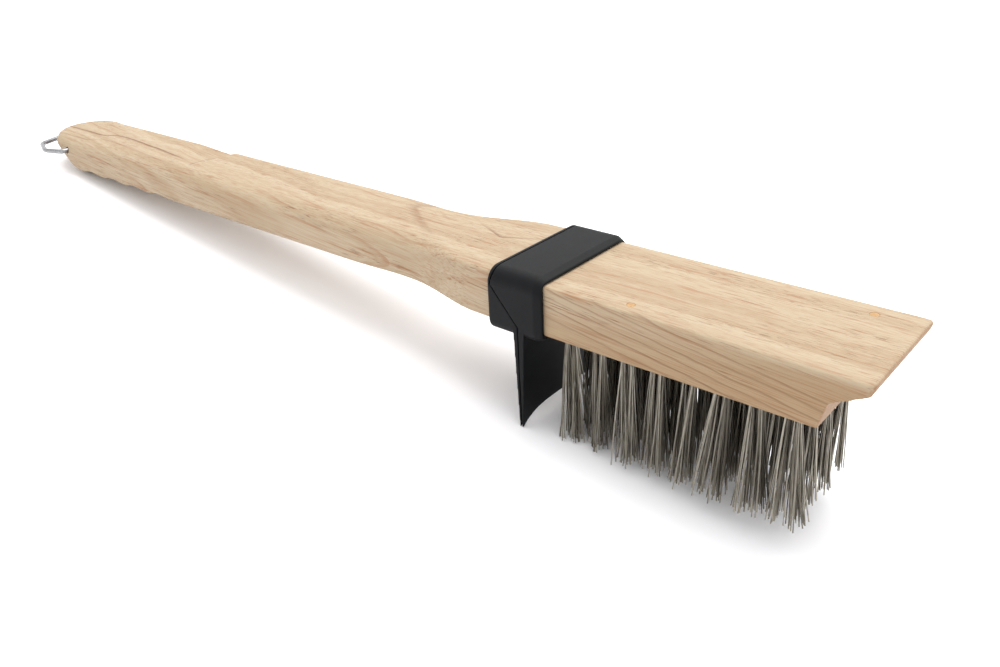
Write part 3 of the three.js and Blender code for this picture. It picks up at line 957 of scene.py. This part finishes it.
# ---- Hanging ring ----------------------------------------------------------------------------
def ring_path():
    corners = [Vector((-back, y, 0)) for back, y in RING_CORNERS]
    count = len(corners)
    points = []
    for i, corner in enumerate(corners):
        before = (corners[i - 1] - corner).normalized()
        after = (corners[(i + 1) % count] - corner).normalized()
        enter = corner + before * RING_BEND_RADIUS
        leave = corner + after * RING_BEND_RADIUS
        steps = 10
        for k in range(steps + 1):
            t = k / steps
            points.append(enter * (1 - t) ** 2 + corner * 2 * t * (1 - t) + leave * t * t)
    return points


def build_ring(material):
    path = ring_path()
    count = len(path)
    sides = 20
    verts = []
    faces = []
    for i, point in enumerate(path):
        along = (path[(i + 1) % count] - path[i - 1]).normalized()
        outside = Vector((along.y, -along.x, 0))
        for k in range(sides):
            a = 2 * math.pi * k / sides
            offset = outside * math.cos(a) * RING_WIRE_RADIUS
            verts.append((
                RING_AXIS_X + point.x + offset.x,
                point.y + offset.y,
                RING_AXIS_Z + RING_WIRE_RADIUS * math.sin(a),
            ))
            j = (k + 1) % sides
            after = ((i + 1) % count) * sides
            faces.append((i * sides + k, i * sides + j, after + j, after + k))
    ring = outward(mesh_object("hanging_ring_look", verts, faces))
    shade(ring, 60)
    finish_piece(ring, material, "ring", ["hanging_ring"])


# ---- Stage: camera, floor and light ----------------------------------------------------------
# The camera's place and angles in the brush frame, in millimetres and degrees.
CAMERA_PLACE = (161.671, -228.255, 120.83)
CAMERA_ANGLES = (62.3216, 2.4352, 39.9848)
CAMERA_LENS = 33.05
FLOOR_HALF_SIZE = 6
WORLD_STRENGTH = 1.26


def build_camera():
    data = bpy.data.cameras.new("camera")
    data.lens = CAMERA_LENS
    data.sensor_width = 36
    data.clip_start = 0.01
    camera = bpy.data.objects.new("camera", data)
    turn = Euler([math.radians(a) for a in CAMERA_ANGLES]).to_matrix().to_4x4()
    camera.location = TO_ROW @ Vector(CAMERA_PLACE)
    camera.rotation_euler = (Matrix.Rotation(-PITCH, 4, "Y") @ turn).to_euler()
    bpy.context.scene.collection.objects.link(camera)
    bpy.context.scene.camera = camera


def build_floor():
    n = Nodes("pale_floor")
    p = n.add("ShaderNodeTexCoord").outputs["Object"]
    mottle = n.range(n.noise(p, 30.0), 0.3, 0.7)
    colour = n.mix(mottle, (0.95, 0.95, 0.97, 1), (0.97, 0.97, 0.99, 1))
    n.link(colour, n.shader.inputs["Base Color"])
    n.shader.inputs["Roughness"].default_value = 0.9
    n.shader.inputs["Specular IOR Level"].default_value = 0.0
    size = FLOOR_HALF_SIZE
    corners = [(-size, -size, 0), (size, -size, 0), (size, size, 0), (-size, size, 0)]
    floor = mesh_object("floor", corners, [(0, 1, 2, 3)])
    floor.data.materials.append(n.material)


def area_light(name, place, target, size, power):
    data = bpy.data.lights.new(name, "AREA")
    data.shape = "DISK"
    data.size = size
    data.energy = power
    light = bpy.data.objects.new(name, data)
    light.location = place
    light.rotation_euler = (Vector(target) - Vector(place)).to_track_quat("-Z", "Y").to_euler()
    bpy.context.scene.collection.objects.link(light)


def build_light():
    world = bpy.data.worlds.new("studio")
    world.use_nodes = True
    background = world.node_tree.nodes["Background"]
    background.inputs["Color"].default_value = (1, 1, 1, 1)
    background.inputs["Strength"].default_value = WORLD_STRENGTH
    bpy.context.scene.world = world
    bpy.context.scene.view_settings.view_transform = "Standard"
    area_light("key", place=(-0.1, 0.4, 1.3), target=(0.05, 0, 0), size=1.4, power=20)


build_camera()
build_floor()
build_light()
wood = wood_material()
build_board(wood)
build_collar(coating_material())
build_screws(steel_material("screw_steel", srgb(150, 150, 152), srgb(190, 190, 192), 0.3, (2, 2, 2)))
build_plugs(plug_material())
build_tufts(bristle_material())
build_ring(steel_material("ring_steel", srgb(126, 126, 128), srgb(160, 160, 162), 0.26, (3, 0.4, 3)))
